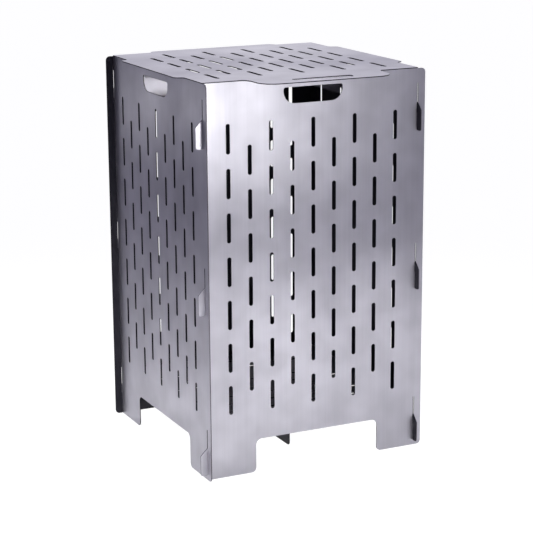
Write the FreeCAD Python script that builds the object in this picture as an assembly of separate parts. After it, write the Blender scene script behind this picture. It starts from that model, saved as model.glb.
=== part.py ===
import FreeCAD, Part
import math
import os

# Flat-pack fire basket for lighting charcoal: four identical laser-cut sheet panels hook
# into a square cage, a slotted lid lies on top, and a slotted grate rests inside on two
# crossed plates. Millimetres, +Z up, front panel facing -Y.
# The origin is on the ground, under the centre of the bounding box.

V = FreeCAD.Vector

# Overall
SIDE = 380.0              # cage width across the outer faces of opposite panels
HEIGHT = 640.0            # panel height, from the ground to the rim
SHEET = 1.5               # thickness of every sheet
FIT_GAP = 0.25            # play between pieces that hook or slot together
HALF = SIDE / 2
CUT_MARGIN = 1.0          # how far a cut is carried past each face of a sheet

# Vent slots, shared by the panels, the lid and the grate
COLUMN_PITCH = 37.0
COLUMNS = 9
VENT_WIDTH = 7.0

# Panel
STRIP = 13.0              # sheet that runs on past the neighbouring panel's face
VENT_ROW_PITCH = 70.5
VENT_LENGTH = 48.0
VENT_ROWS = 7             # in the outer columns; every second column has one fewer
TOP_TO_FIRST_VENT = 88.5  # rim to the centre of the highest vent
RIM_CORNER_RADIUS = 7.0
BUTT_CORNER_RADIUS = 2.0
LEG_HEIGHT = 56.0
LEG_GAP_WIDTH = 223.0
LEG_FILLET = 10.0
FOOT_RADIUS = 8.0

# Hooks on a panel's one edge, and the slots for them near its other edge
HOOK_COUNT = 3
HOOK_SPACING = 265.5
RIM_TO_HOOK_SLOT = 24.0
HOOK_NECK = 17.0          # height of the neck that stays inside the slot
HOOK_TAIL = 29.0          # how far the tail hangs below the neck
HOOK_REACH = 12.0         # how far a hook stands out from the neighbour's face
HOOK_TIP_RADIUS = 3.5
HOOK_ROOT = 2.0           # overlap of a hook with the sheet that it grows from
HOOK_THROAT_RADIUS = 0.8
HOOK_CHAMFER_RADIUS = 2.0
HOOK_SLOT_LENGTH = HOOK_NECK + HOOK_TAIL + 2.0
HOOK_SLOT_WIDTH = SHEET + 1.0

# Hand holes: one in each panel and one in the lid's handle
HAND_WIDTH = 104.0
HAND_HEIGHT = 26.0
HAND_TIGHT_RADIUS = 4.0
HAND_WIDE_RADIUS = 20.0
RIM_TO_HAND_HOLE = 15.0

# Lid
LID_CORNER_RADIUS = 2.0
TAB_REACH = 13.5
TAB_HALF = 114.0          # half length of a tab at its outer edge
TAB_ROOT_HALF = 120.0     # half length of a tab where it leaves the lid
TAB_RADIUS = 7.0
HANDLE_REACH = 61.0
HANDLE_CORNER_RADIUS = 28.0
HANDLE_HOLE_OFFSET = 26.0 # cage face to the near edge of the handle's hole
HANDLE_HOLE_DEPTH = 23.0
PLATE_VENT_ROWS = 4
PLATE_VENT_PITCH = 75.0
PLATE_VENT_LENGTH = 52.0
PLATE_VENT_STAGGER = 0.25 # of the row pitch, forward and back by turns

# Grate and the crossed plates that carry it
GRATE_SIDE = 372.0
GRATE_CORNER_RADIUS = 6.0
CROSS_HEIGHT = 78.0
CROSS_LENGTH = 372.0
CROSS_ARM_DEPTH = 22.0
CROSS_ARM_RADIUS = 3.0
CROSS_FOOT_WIDTH = 202.0
CROSS_FOOT_RADIUS = 6.0
CROSS_SLOT_WIDTH = SHEET + 2 * FIT_GAP

# Puts the origin under the centre of the bounding box: the handle reaches further
# forward than the rear tab reaches back.
CENTRE_SHIFT = V(0, (HANDLE_REACH - TAB_REACH) / 2, 0)


def rounded_wire(corners):
    """Closed wire in the XY plane through corners (x, y, radius)."""
    edges = []
    first = None
    last = None
    count = len(corners)
    for index, (x, y, radius) in enumerate(corners):
        corner = V(x, y, 0)
        before = V(corners[index - 1][0], corners[index - 1][1], 0)
        after = V(corners[(index + 1) % count][0], corners[(index + 1) % count][1], 0)
        to_before = (before - corner).normalize()
        to_after = (after - corner).normalize()
        start = corner
        end = corner
        arc = None
        if radius > 0:
            half_angle = to_before.getAngle(to_after) / 2
            run = radius / math.tan(half_angle)
            start = corner + to_before * run
            end = corner + to_after * run
            centre = corner + (to_before + to_after).normalize() * (radius / math.sin(half_angle))
            middle = centre + (corner - centre).normalize() * radius
            arc = Part.Arc(start, middle, end).toShape()
        if last is None:
            first = start
        else:
            edges.append(Part.makeLine(last, start))
        if arc:
            edges.append(arc)
        last = end
    edges.append(Part.makeLine(last, first))
    return Part.Wire(edges)


def sheet(corners):
    """Flat sheet with the given outline, from z = 0 up to the sheet thickness."""
    return Part.Face(rounded_wire(corners)).extrude(V(0, 0, SHEET))


def cut_through(wire):
    """Prism with the given outline that passes right through a sheet."""
    solid = Part.Face(wire).extrude(V(0, 0, SHEET + 2 * CUT_MARGIN))
    solid.translate(V(0, 0, -CUT_MARGIN))
    return solid


def cutter(corners):
    """Cut with straight sides and rounded corners."""
    return cut_through(rounded_wire(corners))


def rectangle(x_low, x_high, y_low, y_high, radius=0.0):
    return [
        (x_low, y_low, radius),
        (x_high, y_low, radius),
        (x_high, y_high, radius),
        (x_low, y_high, radius),
    ]


def vent(x, y, length):
    """Round-ended slot along Y, centred on x, y."""
    radius = VENT_WIDTH / 2
    high = y + length / 2
    low = y - length / 2
    high_left = V(x - radius, high - radius, 0)
    low_left = V(x - radius, low + radius, 0)
    low_right = V(x + radius, low + radius, 0)
    high_right = V(x + radius, high - radius, 0)
    outline = [
        Part.makeLine(high_left, low_left),
        Part.Arc(low_left, V(x, low, 0), low_right).toShape(),
        Part.makeLine(low_right, high_right),
        Part.Arc(high_right, V(x, high, 0), high_left).toShape(),
    ]
    return cut_through(Part.Wire(outline))


def hand_hole(flat_y, round_y):
    """D-shaped hole: tight corners on the side at flat_y, wide ones at round_y."""
    wide_radius = HAND_WIDE_RADIUS * abs(round_y - flat_y) / HAND_HEIGHT
    corners = [
        (-HAND_WIDTH / 2, flat_y, HAND_TIGHT_RADIUS),
        (HAND_WIDTH / 2, flat_y, HAND_TIGHT_RADIUS),
        (HAND_WIDTH / 2, round_y, wide_radius),
        (-HAND_WIDTH / 2, round_y, wide_radius),
    ]
    return cutter(corners)


def column_x(column):
    return (column - (COLUMNS - 1) / 2) * COLUMN_PITCH


def panel_vents():
    """Staggered columns of vents: seven in the outer column, six in the next."""
    vents = []
    for column in range(COLUMNS):
        stagger = column % 2
        for row in range(VENT_ROWS - stagger):
            drop = TOP_TO_FIRST_VENT + (row + stagger / 2) * VENT_ROW_PITCH
            vents.append(vent(column_x(column), HEIGHT - drop, VENT_LENGTH))
    return vents


def plate_vents():
    """Staggered columns of vents for the lid and the grate, four to a column."""
    vents = []
    for column in range(COLUMNS):
        stagger = PLATE_VENT_STAGGER if column % 2 else -PLATE_VENT_STAGGER
        for row in range(PLATE_VENT_ROWS):
            y = (row - (PLATE_VENT_ROWS - 1) / 2 + stagger) * PLATE_VENT_PITCH
            vents.append(vent(column_x(column), y, PLATE_VENT_LENGTH))
    return vents


def hook_neck_bottom(index):
    """Height of the underside of a hook's neck, which sits on the bottom of its slot."""
    return HEIGHT - RIM_TO_HOOK_SLOT - HOOK_SLOT_LENGTH - index * HOOK_SPACING + FIT_GAP


def hook(index):
    """Downward hook on the panel's left edge, chamfered above so that it finds its slot."""
    low = hook_neck_bottom(index)
    high = low + HOOK_NECK
    root = -HALF + SHEET + HOOK_ROOT
    inside = -HALF - FIT_GAP
    outside = -HALF - HOOK_REACH
    corners = [
        (root, low, 0),
        (inside, low, HOOK_THROAT_RADIUS),
        (inside, low - HOOK_TAIL, HOOK_TIP_RADIUS / 2),
        (outside, low - HOOK_TAIL, HOOK_TIP_RADIUS),
        (outside, high - HOOK_REACH, HOOK_CHAMFER_RADIUS),
        (inside, high, 0),
        (root, high, 0),
    ]
    return sheet(corners)


def hook_slot(index):
    """Slot near the panel's right edge for the neighbour's hook."""
    low = hook_neck_bottom(index) - FIT_GAP
    middle = HALF - SHEET / 2
    half_width = HOOK_SLOT_WIDTH / 2
    return cutter(rectangle(middle - half_width, middle + half_width, low, low + HOOK_SLOT_LENGTH))


def panel_blank():
    """Panel drawn flat in XY: x across, y up from the ground, z through the sheet."""
    left = -HALF + SHEET + FIT_GAP
    right = HALF + STRIP
    gap_left = (left + right - LEG_GAP_WIDTH) / 2
    gap_right = (left + right + LEG_GAP_WIDTH) / 2
    corners = [
        (left, 0, BUTT_CORNER_RADIUS),
        (gap_left, 0, FOOT_RADIUS),
        (gap_left, LEG_HEIGHT, LEG_FILLET),
        (gap_right, LEG_HEIGHT, LEG_FILLET),
        (gap_right, 0, FOOT_RADIUS),
        (right, 0, RIM_CORNER_RADIUS),
        (right, HEIGHT, RIM_CORNER_RADIUS),
        (left, HEIGHT, BUTT_CORNER_RADIUS),
    ]
    hooks = [hook(index) for index in range(HOOK_COUNT)]
    blank = sheet(corners).fuse(hooks).removeSplitter()
    hand_top = HEIGHT - RIM_TO_HAND_HOLE
    holes = [hand_hole(hand_top, hand_top - HAND_HEIGHT)]
    holes += [hook_slot(index) for index in range(HOOK_COUNT)]
    holes += panel_vents()
    return blank.cut(holes)


def stand_panel(turns):
    """Panel stood up as the front one, then turned about the cage's axis in quarter turns."""
    panel = panel_blank()
    panel.rotate(V(0, 0, 0), V(1, 0, 0), 90)
    panel.translate(V(0, -HALF + SHEET, 0))
    panel.rotate(V(0, 0, 0), V(0, 0, 1), 90 * turns)
    return panel


def quarter_turns(corners, turns):
    """Corners turned anticlockwise about the origin in quarter turns."""
    for _ in range(turns):
        corners = [(-y, x, radius) for x, y, radius in corners]
    return corners


def lid_side(handle):
    """Corners along one side of the lid, drawn as the rear side, with its tab or handle."""
    half_tab = [
        (TAB_ROOT_HALF, HALF, TAB_RADIUS),
        (TAB_HALF, HALF + TAB_REACH, TAB_RADIUS),
    ]
    if handle:
        half_tab.append((TAB_HALF, HALF + HANDLE_REACH, HANDLE_CORNER_RADIUS))
    mirrored = [(-x, y, radius) for x, y, radius in reversed(half_tab)]
    return [(HALF, HALF, LID_CORNER_RADIUS)] + half_tab + mirrored


def make_lid():
    """Slotted lid that lies on the panels' rims, with three tabs and a front handle."""
    corners = []
    for turns in range(4):
        corners += quarter_turns(lid_side(handle=(turns == 2)), turns)
    hole_near = -HALF - HANDLE_HOLE_OFFSET
    holes = plate_vents() + [hand_hole(hole_near, hole_near - HANDLE_HOLE_DEPTH)]
    lid = sheet(corners).cut(holes)
    lid.translate(V(0, 0, HEIGHT))
    return lid


def make_grate():
    """Slotted plate that carries the charcoal; its vents run across the cage."""
    half = GRATE_SIDE / 2
    grate = sheet(rectangle(-half, half, -half, half, GRATE_CORNER_RADIUS)).cut(plate_vents())
    grate.rotate(V(0, 0, 0), V(0, 0, 1), 90)
    grate.translate(V(0, 0, CROSS_HEIGHT))
    return grate


def cross_plate(slot_low, slot_high):
    """T-shaped plate in the XZ plane with a half-lap slot from slot_low to slot_high."""
    end = CROSS_LENGTH / 2
    foot = CROSS_FOOT_WIDTH / 2
    arm = CROSS_HEIGHT - CROSS_ARM_DEPTH
    corners = [
        (-foot, 0, CROSS_FOOT_RADIUS),
        (foot, 0, CROSS_FOOT_RADIUS),
        (foot, arm, CROSS_FOOT_RADIUS),
        (end, arm, CROSS_ARM_RADIUS),
        (end, CROSS_HEIGHT, CROSS_ARM_RADIUS),
        (-end, CROSS_HEIGHT, CROSS_ARM_RADIUS),
        (-end, arm, CROSS_ARM_RADIUS),
        (-foot, arm, CROSS_FOOT_RADIUS),
    ]
    half_width = CROSS_SLOT_WIDTH / 2
    plate = sheet(corners).cut(cutter(rectangle(-half_width, half_width, slot_low, slot_high)))
    plate.rotate(V(0, 0, 0), V(1, 0, 0), 90)
    plate.translate(V(0, SHEET / 2, 0))
    return plate


def make_lower_cross_plate():
    """Runs from side to side; its half-lap slot is open at the top."""
    return cross_plate((CROSS_HEIGHT - FIT_GAP) / 2, CROSS_HEIGHT + CUT_MARGIN)


def make_upper_cross_plate():
    """Runs from front to back; its half-lap slot is open at the bottom."""
    plate = cross_plate(-CUT_MARGIN, (CROSS_HEIGHT + FIT_GAP) / 2)
    plate.rotate(V(0, 0, 0), V(0, 0, 1), 90)
    return plate


nodes = {
    "front_panel": stand_panel(0),
    "right_panel": stand_panel(1),
    "back_panel": stand_panel(2),
    "left_panel": stand_panel(3),
    "lid": make_lid(),
    "fire_grate": make_grate(),
    "lower_cross_plate": make_lower_cross_plate(),
    "upper_cross_plate": make_upper_cross_plate(),
}

os.makedirs("parts", exist_ok=True)
for name, shape in nodes.items():
    shape.translate(CENTRE_SHIFT)
    shape.exportStep("parts/" + name + ".step")
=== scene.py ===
import math

import bpy
from mathutils import Matrix, Vector


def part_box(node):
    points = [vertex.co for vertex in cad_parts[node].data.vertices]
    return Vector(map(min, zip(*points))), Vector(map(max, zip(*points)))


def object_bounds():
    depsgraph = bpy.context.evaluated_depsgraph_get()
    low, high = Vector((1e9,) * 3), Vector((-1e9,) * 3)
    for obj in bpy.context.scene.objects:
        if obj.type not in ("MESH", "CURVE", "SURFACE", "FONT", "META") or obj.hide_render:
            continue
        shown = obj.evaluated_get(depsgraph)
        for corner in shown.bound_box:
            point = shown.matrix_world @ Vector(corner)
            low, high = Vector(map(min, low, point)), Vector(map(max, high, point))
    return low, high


# Looks of the flat-pack fire basket: brushed stainless panels, lid and grate in a plain studio.

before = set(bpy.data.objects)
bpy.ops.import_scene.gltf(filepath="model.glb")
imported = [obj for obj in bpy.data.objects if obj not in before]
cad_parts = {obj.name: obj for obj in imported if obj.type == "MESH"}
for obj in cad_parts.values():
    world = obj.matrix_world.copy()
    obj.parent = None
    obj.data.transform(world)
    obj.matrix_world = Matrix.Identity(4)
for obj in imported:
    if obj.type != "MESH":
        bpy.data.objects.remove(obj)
cad_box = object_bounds()

PANELS_FACING_Y = ("front_panel", "back_panel")
PANELS_FACING_X = ("left_panel", "right_panel")

# The camera is solved from the photograph's vent grids. Metres, degrees, and millimetres of lens.
CAMERA_PLACE = Vector((-1.258, -2.621, 1.023))
CAMERA_YAW = 25.57
CAMERA_PITCH = 14.05
CAMERA_ROLL = -0.39
SENSOR = 36.0
LENS = 119.5


class Nodes:
    """Short way to add and link nodes in one tree."""

    def __init__(self, tree):
        self.tree = tree
        tree.nodes.clear()

    def add(self, kind, **settings):
        node = self.tree.nodes.new(kind)
        for key, value in settings.items():
            setattr(node, key, value)
        return node

    def link(self, source, target):
        if isinstance(source, (int, float)):
            target.default_value = source
        else:
            self.tree.links.new(source, target)

    def math(self, operation, a, b=0.0):
        node = self.add("ShaderNodeMath", operation=operation)
        self.link(a, node.inputs[0])
        self.link(b, node.inputs[1])
        return node.outputs[0]

    def noise(self, coordinates, stretch, scale, detail=3.0, roughness=0.55):
        """Noise between 0 and 1, drawn out by the stretch factors along X, Y and Z."""
        mapping = self.add("ShaderNodeMapping")
        mapping.inputs["Scale"].default_value = stretch
        self.link(coordinates, mapping.inputs["Vector"])
        noise = self.add("ShaderNodeTexNoise")
        self.link(mapping.outputs[0], noise.inputs["Vector"])
        noise.inputs["Scale"].default_value = scale
        noise.inputs["Detail"].default_value = detail
        noise.inputs["Roughness"].default_value = roughness
        return noise.outputs["Fac"]

    def remap(self, value, low, high, to_low, to_high):
        node = self.add("ShaderNodeMapRange")
        self.link(value, node.inputs["Value"])
        node.inputs["From Min"].default_value = low
        node.inputs["From Max"].default_value = high
        node.inputs["To Min"].default_value = to_low
        node.inputs["To Max"].default_value = to_high
        return node.outputs[0]

    def mix(self, factor, a, b):
        node = self.add("ShaderNodeMix", data_type="RGBA")
        self.link(factor, node.inputs["Factor"])
        for value, socket in ((a, node.inputs["A"]), (b, node.inputs["B"])):
            if isinstance(value, tuple):
                socket.default_value = (*value, 1.0)
            else:
                self.link(value, socket)
        return node.outputs["Result"]

    def split(self, vector):
        """The vector's X, Y and Z outputs, by name."""
        node = self.add("ShaderNodeSeparateXYZ")
        self.link(vector, node.inputs[0])
        return node.outputs

    def finish(self, shader, output_kind):
        self.link(shader.outputs[0], self.add(output_kind).inputs["Surface"])


EVEN = (1.0, 1.0, 1.0)


def stretched(axis, factor):
    """Noise stretch that is the factor along one axis and even along the others."""
    return tuple(factor if name == axis else 1.0 for name in "XYZ")


# Steel colours
CLEAN = (0.56, 0.55, 0.59)
DULL = (0.475, 0.466, 0.505)
# Grate: steel darkened as painted shade
GRATE_SHADE_CLEAN = (0.20, 0.19, 0.21)
GRATE_SHADE_DULL = (0.13, 0.125, 0.14)
# Cross plates: steel darkened as painted shade
CROSS_PLATE_SHADE_CLEAN = (0.105, 0.100, 0.115)
CROSS_PLATE_SHADE_DULL = (0.060, 0.057, 0.066)
# Inside faces: painted shade low down, and a painted lighter band at the rim
INSIDE_PAINTED_SHADE = (0.050, 0.048, 0.057)
INSIDE_PAINTED_RIM_LIGHT = (0.50, 0.485, 0.54)
# Cut edges: painted shade, darkest in the slots
SLOT_EDGE_SHADE = (0.035, 0.033, 0.040)
BORDER_EDGE_SHADE = (0.10, 0.096, 0.112)

# Lengths on the sheets, metres
BORDER = 0.004          # how far in from a sheet's end its edge counts as the border
HOOK_STRIP = 0.016      # strip at each end of a panel that lies outside the cage
INSIDE_SHADE_LINE = 0.565       # height up to which the inside gets painted shade; above it a painted lighter band runs up to the rim
INSIDE_SHADE_LINE_BLUR = 0.002

# Noise sizes, as Blender's noise scale: a feature is about 1 / scale metres across
HAIRLINE_SCALE = 900.0
STREAK_SCALE = 200.0
SMUDGE_SCALE = 22.0
CLOUD_SCALE = 9.0
WAVE_SCALE = 7.0
ALONG_BRUSHING = 0.012  # hairlines and streaks are 1 / 0.012 times as long as they are wide
ALONG_CLOUDS = 0.6

# Bands of a noise's values that are spread over an effect's whole range
NOISE_BAND = (0.3, 0.7)
CLOUD_BAND = (0.35, 0.68)
SMUDGE_BAND = (0.35, 0.65)

# Brightness factors, from one end of the band to the other
SMUDGE_SHADE = (0.93, 1.05)
STREAK_SHADE = (0.975, 1.02)
HAIRLINE_SHADE = (0.985, 1.01)

# Every steel's roughness is 0.28 or more: a lower range gave thin lines in close-up renders
PANEL_ROUGHNESS = 0.295
LID_ROUGHNESS = 0.30
INSIDE_ROUGHNESS = 0.45
EDGE_ROUGHNESS = 0.5
GRATE_ROUGHNESS = 0.40
CLOUD_ROUGHNESS = (-0.01, 0.04)     # added to a steel's roughness, over the band
STREAK_ROUGHNESS = (-0.005, 0.005)
PANEL_ANISOTROPY = 0.87
FLAT_ANISOTROPY = 0.55
WAVE_STRENGTH = 0.5
WAVE_HEIGHT = 0.0006
CUT_EDGE_TURN = (0.35, 0.6)         # share of a face's normal across the sheet: cut edge, to sheet


def steel(name, face_axis, brushed_axis, clean, dull, roughness, centre=None, span=None):
    """Brushed stainless sheet.

    face_axis is the axis across the sheet, and brushed_axis is the one its brushing follows.
    clean and dull are the two colours that the cloudy surface drifts between.
    centre is where the cage's middle lies along face_axis: faces turned to it get painted shade,
    with a painted lighter band up at the rim.
    span is (axis, low, high), the sheet's outer ends, whose cut edges get a lighter painted shade
    than the slots'.
    """
    material = bpy.data.materials.new(name)
    material.use_nodes = True
    n = Nodes(material.node_tree)
    place = n.add("ShaderNodeTexCoord").outputs["Object"]
    at = n.split(place)
    normal = n.split(n.add("ShaderNodeNewGeometry").outputs["True Normal"])

    brushing = stretched(brushed_axis, ALONG_BRUSHING)
    hairlines = n.noise(place, brushing, HAIRLINE_SCALE, detail=1.0)
    streaks = n.noise(place, brushing, STREAK_SCALE, detail=2.0)
    clouds = stretched(brushed_axis, ALONG_CLOUDS)
    cloud = n.noise(place, clouds, CLOUD_SCALE, detail=2.0, roughness=0.5)
    smudge = n.noise(place, EVEN, SMUDGE_SCALE, detail=1.0)
    waves = n.noise(place, EVEN, WAVE_SCALE, detail=1.0)

    tone = n.mix(n.remap(cloud, *CLOUD_BAND, 0.0, 1.0), clean, dull)
    smudge_shade = n.remap(smudge, *SMUDGE_BAND, *SMUDGE_SHADE)
    streak_shade = n.remap(streaks, *NOISE_BAND, *STREAK_SHADE)
    hair_shade = n.remap(hairlines, *NOISE_BAND, *HAIRLINE_SHADE)
    shade = n.math("MULTIPLY", n.math("MULTIPLY", streak_shade, hair_shade), smudge_shade)
    shaded = n.add("ShaderNodeVectorMath", operation="SCALE")
    n.link(tone, shaded.inputs[0])
    n.link(shade, shaded.inputs["Scale"])
    colour = shaded.outputs[0]

    least, most = (roughness + change for change in CLOUD_ROUGHNESS)
    rough_cloud = n.remap(cloud, *NOISE_BAND, least, most)
    rough_line = n.remap(streaks, *NOISE_BAND, *STREAK_ROUGHNESS)
    rough = n.math("ADD", rough_cloud, rough_line)

    if span is not None:
        axis, low, high = span
        from_middle = n.math("ABSOLUTE", n.math("SUBTRACT", at[axis], (low + high) / 2))
        from_end = n.math("SUBTRACT", (high - low) / 2, from_middle)

    # Inside faces get painted shade below the shade line and a painted lighter band above it; the
    # end strips outside the cage keep the painted shade.
    if centre is not None:
        outward = n.math("SUBTRACT", at[face_axis], centre)
        inner = n.math("LESS_THAN", n.math("MULTIPLY", outward, normal[face_axis]), 0.0)
        low_edge, high_edge = INSIDE_SHADE_LINE - INSIDE_SHADE_LINE_BLUR, INSIDE_SHADE_LINE + INSIDE_SHADE_LINE_BLUR
        above = n.remap(at["Z"], low_edge, high_edge, 0.0, 1.0)
        if span is not None:
            above = n.math("MULTIPLY", above, n.math("GREATER_THAN", from_end, HOOK_STRIP))
        colour = n.mix(inner, colour, n.mix(above, INSIDE_PAINTED_SHADE, INSIDE_PAINTED_RIM_LIGHT))
        rough = n.math("MAXIMUM", rough, n.math("MULTIPLY", inner, INSIDE_ROUGHNESS))

    # Laser-cut edges stand square to the sheet and get painted shade: near black in the slots, dark
    # grey at its ends.
    facing = n.math("ABSOLUTE", normal[face_axis])
    cut_edge = n.remap(facing, *CUT_EDGE_TURN, 1.0, 0.0)
    edge_colour = SLOT_EDGE_SHADE
    if span is not None:
        at_end = n.math("LESS_THAN", from_end, BORDER)
        edge_colour = n.mix(at_end, SLOT_EDGE_SHADE, BORDER_EDGE_SHADE)
    colour = n.mix(cut_edge, colour, edge_colour)
    rough = n.math("MAXIMUM", rough, n.math("MULTIPLY", cut_edge, EDGE_ROUGHNESS))

    bump = n.add("ShaderNodeBump")
    bump.inputs["Strength"].default_value = WAVE_STRENGTH
    bump.inputs["Distance"].default_value = WAVE_HEIGHT
    n.link(waves, bump.inputs["Height"])

    upright = brushed_axis == "Z"
    shader = n.add("ShaderNodeBsdfPrincipled")
    shader.inputs["Metallic"].default_value = 1.0
    shader.inputs["Anisotropic"].default_value = PANEL_ANISOTROPY if upright else FLAT_ANISOTROPY
    n.link(colour, shader.inputs["Base Color"])
    n.link(rough, shader.inputs["Roughness"])
    n.link(bump.outputs[0], shader.inputs["Normal"])
    if upright:
        tangent = n.add("ShaderNodeTangent", direction_type="RADIAL", axis="Z")
        n.link(tangent.outputs[0], shader.inputs["Tangent"])
    n.finish(shader, "ShaderNodeOutputMaterial")
    return material


def dress(names, material):
    for name in names:
        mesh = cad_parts[name].data
        mesh.materials.clear()
        mesh.materials.append(material)


def dress_object():
    front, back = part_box("front_panel"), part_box("back_panel")
    left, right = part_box("left_panel"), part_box("right_panel")
    middle = (front[0] + back[1]) / 2
    panel = (CLEAN, DULL, PANEL_ROUGHNESS)
    # the grate gets darkened colours as painted shade
    grate = (GRATE_SHADE_CLEAN, GRATE_SHADE_DULL, GRATE_ROUGHNESS)
    # the cross plates get darkened colours as painted shade
    shaded_plates = (CROSS_PLATE_SHADE_CLEAN, CROSS_PLATE_SHADE_DULL, GRATE_ROUGHNESS)
    x_ends = ("X", back[0].x, front[1].x)
    y_ends = ("Y", left[0].y, right[1].y)
    dress(PANELS_FACING_Y, steel("panel_steel_y", "Y", "Z", *panel, middle.y, x_ends))
    dress(PANELS_FACING_X, steel("panel_steel_x", "X", "Z", *panel, 0.0, y_ends))
    dress(("lid",), steel("lid_steel", "Z", "X", CLEAN, DULL, LID_ROUGHNESS, middle.z))
    dress(("fire_grate",), steel("grate_steel", "Z", "Y", *grate))
    dress(("lower_cross_plate",), steel("cross_steel_y", "Y", "X", *shaded_plates))
    dress(("upper_cross_plate",), steel("cross_steel_x", "X", "Y", *shaded_plates))


FLOOR_HALF = 30.0
FLOOR_GLOW = 0.94               # how white the floor is to the camera where no light falls
FLOOR_SEEN = (0.20, 0.20, 0.20)
FLOOR_PAINT = ((0.88, 0.88, 0.88), (0.90, 0.90, 0.90))
FLOOR_MOTTLE_SCALE = 3.0
FLOOR_ROUGHNESS = 0.85


def make_floor():
    """Wide pale floor: near white to the camera, and plain paint to the steel that mirrors it."""
    mesh = bpy.data.meshes.new("floor")
    signs = ((-1, -1), (1, -1), (1, 1), (-1, 1))
    corners = [(x * FLOOR_HALF, y * FLOOR_HALF, 0) for x, y in signs]
    mesh.from_pydata(corners, [], [(0, 1, 2, 3)])
    floor = bpy.data.objects.new("floor", mesh)
    bpy.context.scene.collection.objects.link(floor)
    floor.location.z = cad_box[0].z
    material = bpy.data.materials.new("floor_paint")
    material.use_nodes = True
    n = Nodes(material.node_tree)
    place = n.add("ShaderNodeTexCoord").outputs["Object"]
    paint = n.mix(n.noise(place, EVEN, FLOOR_MOTTLE_SCALE), *FLOOR_PAINT)
    seen = n.add("ShaderNodeLightPath").outputs["Is Camera Ray"]
    shader = n.add("ShaderNodeBsdfPrincipled")
    shader.inputs["Roughness"].default_value = FLOOR_ROUGHNESS
    shader.inputs["Specular IOR Level"].default_value = 0.0
    shader.inputs["Emission Color"].default_value = (*EVEN, 1.0)
    n.link(n.mix(seen, paint, FLOOR_SEEN), shader.inputs["Base Color"])
    n.link(n.math("MULTIPLY", seen, FLOOR_GLOW), shader.inputs["Emission Strength"])
    n.finish(shader, "ShaderNodeOutputMaterial")
    mesh.materials.append(material)


def area_light(name, place, aim, width, height, power, spread, glossy=True):
    """Rectangular softbox, width across and height up its face, that the camera never sees."""
    data = bpy.data.lights.new(name, "AREA")
    data.shape = "RECTANGLE"
    data.size = width
    data.size_y = height
    data.energy = power
    data.spread = math.radians(spread)
    light = bpy.data.objects.new(name, data)
    bpy.context.scene.collection.objects.link(light)
    light.location = place
    light.rotation_euler = (Vector(aim) - Vector(place)).to_track_quat("-Z", "Y").to_euler()
    light.visible_camera = False
    light.visible_glossy = glossy
    return light


def along_view(distance, sideways=0.0, height=0.0):
    """Place at the height, so far ahead of the camera and to its right, measured level."""
    yaw = math.radians(CAMERA_YAW)
    ahead = Vector((math.sin(yaw), math.cos(yaw), 0.0))
    right = Vector((math.cos(yaw), -math.sin(yaw), 0.0))
    place = CAMERA_PLACE + ahead * distance + right * sideways
    return Vector((place.x, place.y, height))


def overhead(name, distance, sideways, height, width, length, power, spread, shadow=True):
    """Softbox that hangs level above the view and lights only the floor, not the steel."""
    place = along_view(distance, sideways, height)
    light = area_light(name, place, place - Vector((0, 0, 1)), width, length, power, spread, False)
    light.rotation_euler = (0.0, 0.0, -math.radians(CAMERA_YAW))
    light.data.use_shadow = shadow


def make_lights():
    # Place, aim, width and height in metres, power in watts, spread in degrees
    area_light("front_softbox", (0.30, -2.1, 0.53), (-0.81, -0.18, 0.53), 0.50, 0.9, 2.35, 60.0)
    # Goes in through the front hand hole and lights only the back panel's inner side.
    hole_light = area_light(
        "hand_hole_softbox", (0.585, -2.1, 0.761), (-0.114, 0.212, 0.583), 0.10, 0.10, 0.08, 6.0
    )
    receivers = bpy.data.collections.new("hand_hole_receivers")
    receivers.objects.link(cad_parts["back_panel"])
    hole_light.light_linking.receiver_collection = receivers
    # Ahead of the camera, to its right, height, width and length, power, spread, shadow
    overhead("object_softbox", 2.38, -0.1, 2.4, 1.5, 1.5, 4.0, 62.0)
    overhead("object_fill_softbox", 2.38, -0.1, 2.4, 1.5, 1.5, 14.2, 62.0, False)
    overhead("front_floor_softbox", 1.92, 0.55, 2.0, 0.8, 0.8, 2.9, 40.0)
    overhead("back_floor_softbox", 5.4, -3.1, 2.0, 1.2, 1.6, 6.0, 48.0)


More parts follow.
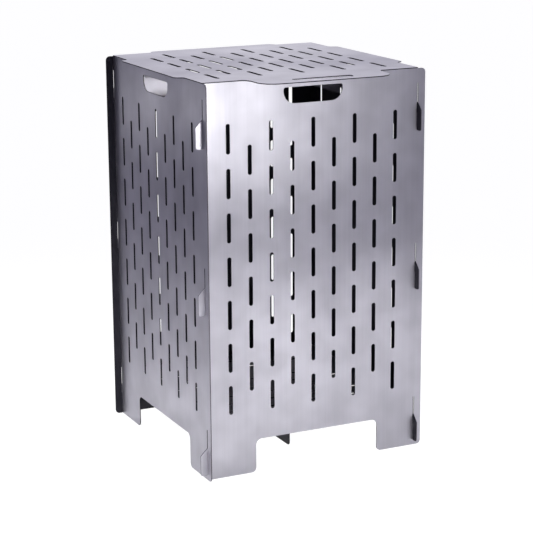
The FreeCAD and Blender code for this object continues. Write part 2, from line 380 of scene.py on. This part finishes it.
DIM_WALL = (0.90, 0.86, 1.20)
PALE_WALL = (0.98, 0.965, 1.06)
WHITE = (1.0, 1.0, 1.0)
WALL_LEVELS = (0.18, 0.88)      # brightness away from the pale wall, and at its middle
WALL_EDGES = (0.55, 0.97)       # cosines of the angle from its middle where it starts and peaks
WALL_RISE = 0.27                # how far the pale wall's middle is up, for each metre ahead
CEILING_EDGES = (0.26, 0.6)     # sines of the heights where the ceiling starts and peaks
CEILING_LEVEL = 0.5


def make_world():
    """White to the camera. The steel mirrors dim walls, a pale one behind it and a soft ceiling."""
    world = bpy.data.worlds.new("studio")
    world.use_nodes = True
    bpy.context.scene.world = world
    n = Nodes(world.node_tree)
    path = n.add("ShaderNodeLightPath")
    seen = path.outputs["Is Camera Ray"]
    direction = n.add("ShaderNodeTexCoord").outputs["Generated"]
    behind = n.add("ShaderNodeVectorMath", operation="DOT_PRODUCT")
    n.link(direction, behind.inputs[0])
    pale_way = along_view(1.0, height=WALL_RISE) - along_view(0.0)
    behind.inputs[1].default_value = pale_way.normalized()
    nearness = behind.outputs["Value"]

    walls = n.remap(nearness, *WALL_EDGES, *WALL_LEVELS)
    up = n.split(direction)["Z"]
    ceiling = n.remap(up, *CEILING_EDGES, 0.0, CEILING_LEVEL)
    mirrored_ceiling = n.math("MULTIPLY", ceiling, path.outputs["Is Glossy Ray"])
    level = n.math("MAXIMUM", walls, mirrored_ceiling)
    wall_colour = n.mix(n.remap(nearness, *WALL_EDGES, 0.0, 1.0), DIM_WALL, PALE_WALL)

    background = n.add("ShaderNodeBackground")
    n.link(n.mix(seen, wall_colour, WHITE), background.inputs["Color"])
    n.link(n.math("MAXIMUM", level, seen), background.inputs["Strength"])
    n.finish(background, "ShaderNodeOutputWorld")


def make_camera():
    data = bpy.data.cameras.new("camera")
    data.sensor_width = SENSOR
    data.lens = LENS
    camera = bpy.data.objects.new("camera", data)
    bpy.context.scene.collection.objects.link(camera)
    yaw = Matrix.Rotation(-math.radians(CAMERA_YAW), 4, "Z")
    pitch = Matrix.Rotation(math.radians(90 - CAMERA_PITCH), 4, "X")
    roll = Matrix.Rotation(math.radians(CAMERA_ROLL), 4, "Z")
    camera.matrix_world = Matrix.Translation(CAMERA_PLACE) @ yaw @ pitch @ roll
    bpy.context.scene.camera = camera


dress_object()
make_floor()
make_lights()
make_world()
make_camera()

view = bpy.context.scene.view_settings
view.view_transform = "Standard"
view.look = "None"
